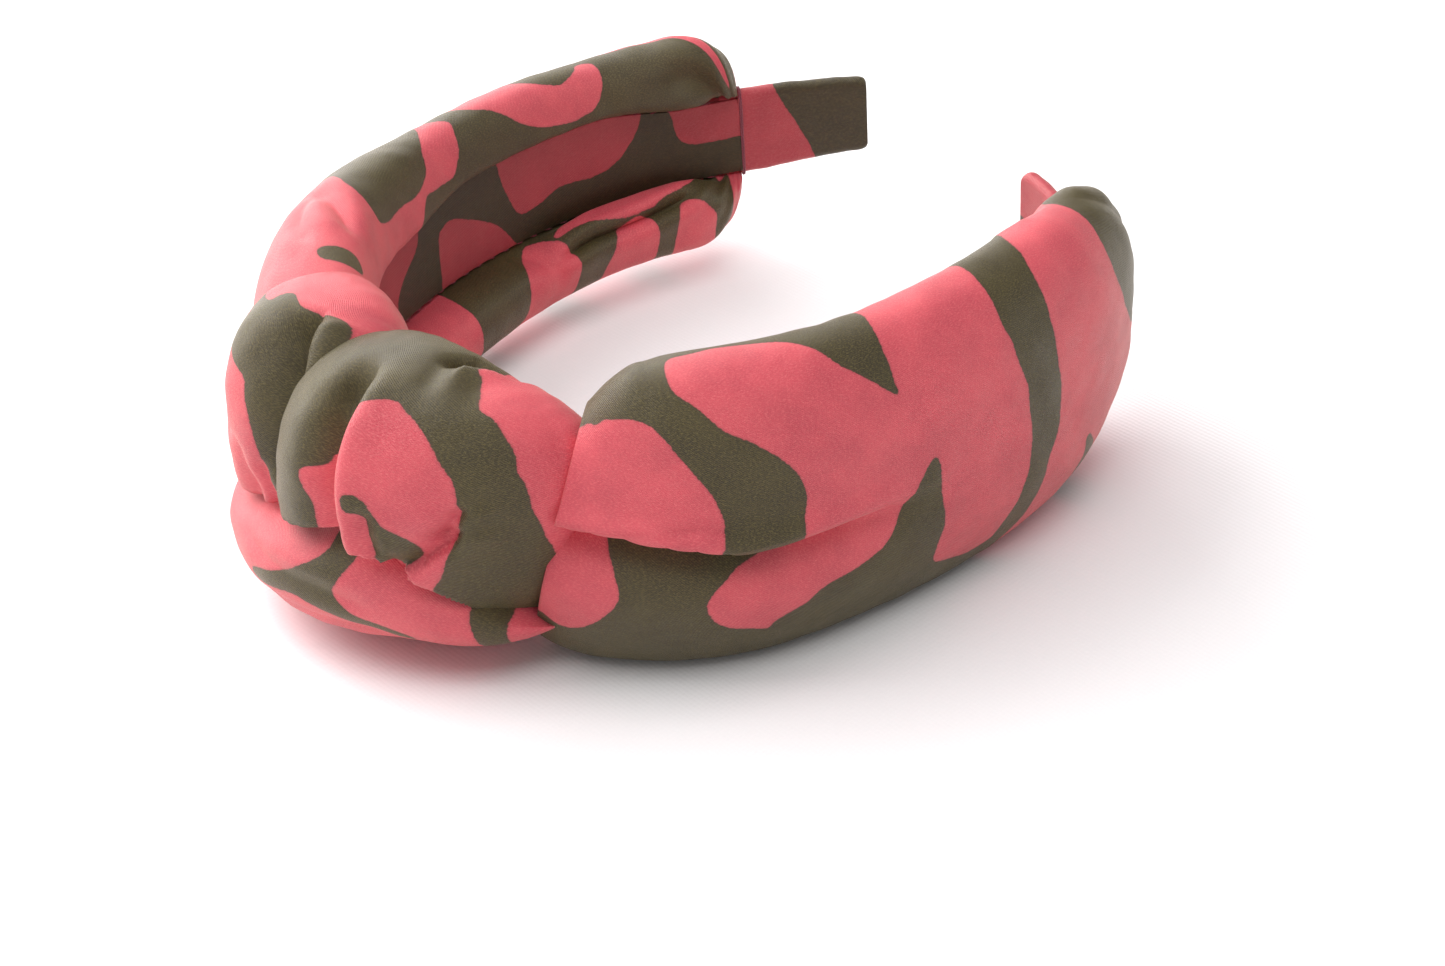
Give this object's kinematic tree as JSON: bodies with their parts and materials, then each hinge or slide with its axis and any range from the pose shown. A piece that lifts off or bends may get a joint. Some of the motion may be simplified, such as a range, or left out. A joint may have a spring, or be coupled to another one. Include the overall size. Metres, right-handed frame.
{
  "type": "knotted headband",
  "caption": "Padded satin headband with a turban-style knot at the crown, soft lips along a lined inner hoop, and bare wrapped tips.",
  "frame": {"origin": "bottom centre of the bounding box, with the headband lying on its edge", "axes": "+Z across the width of the band, up from the surface it lies on; -Y towards the knot at the crown; +Y towards the open tips; +X towards the arm beside the knot's broad turn"},
  "size_m": [0.1458, 0.1716, 0.058],
  "materials": {
    "satin": "satin, printed in pink and olive",
    "wadding": "matt polyester wadding",
    "hoop_plastic": "moulded",
    "glue": "set hot glue",
    "thread": "twisted polyester thread"
  },
  "bodies": {
    "crown": {"hoop_core": "hoop_plastic", "hoop_sleeve": "satin", "lining_strip": "satin", "glue_strip_crown": "glue", "knot_padding": "wadding", "knot_under_turn": "satin", "knot_outer_turn": "satin", "knot_inner_turn": "satin", "knot_tack_stitches": "thread"},
    "left_arm": {"cover_left": "satin", "padding_left": "wadding", "glue_strip_left": "glue", "tip_wrap_left": "satin", "gather_thread_left": "thread", "upper_seam_thread_left": "thread", "lower_seam_thread_left": "thread"},
    "right_arm": {"cover_right": "satin", "padding_right": "wadding", "glue_strip_right": "glue", "tip_wrap_right": "satin", "gather_thread_right": "thread", "upper_seam_thread_right": "thread", "lower_seam_thread_right": "thread"}
  },
  "joints": [
    {"name": "left_flex", "type": "hinge", "parent": "crown", "child": "left_arm", "pos_m": [-0.03015, -0.05295, 0.028], "axis": [0, 0, 1], "range_deg": [-5, 12], "stiffness_Nm_per_rad": 1.4, "deforming": ["hoop_core", "hoop_sleeve", "lining_strip"]},
    {"name": "right_flex", "type": "hinge", "parent": "crown", "child": "right_arm", "pos_m": [0.03015, -0.05295, 0.028], "axis": [0, 0, -1], "range_deg": [-5, 12], "stiffness_Nm_per_rad": 1.4, "deforming": ["hoop_core", "hoop_sleeve", "lining_strip"]}
  ]
}
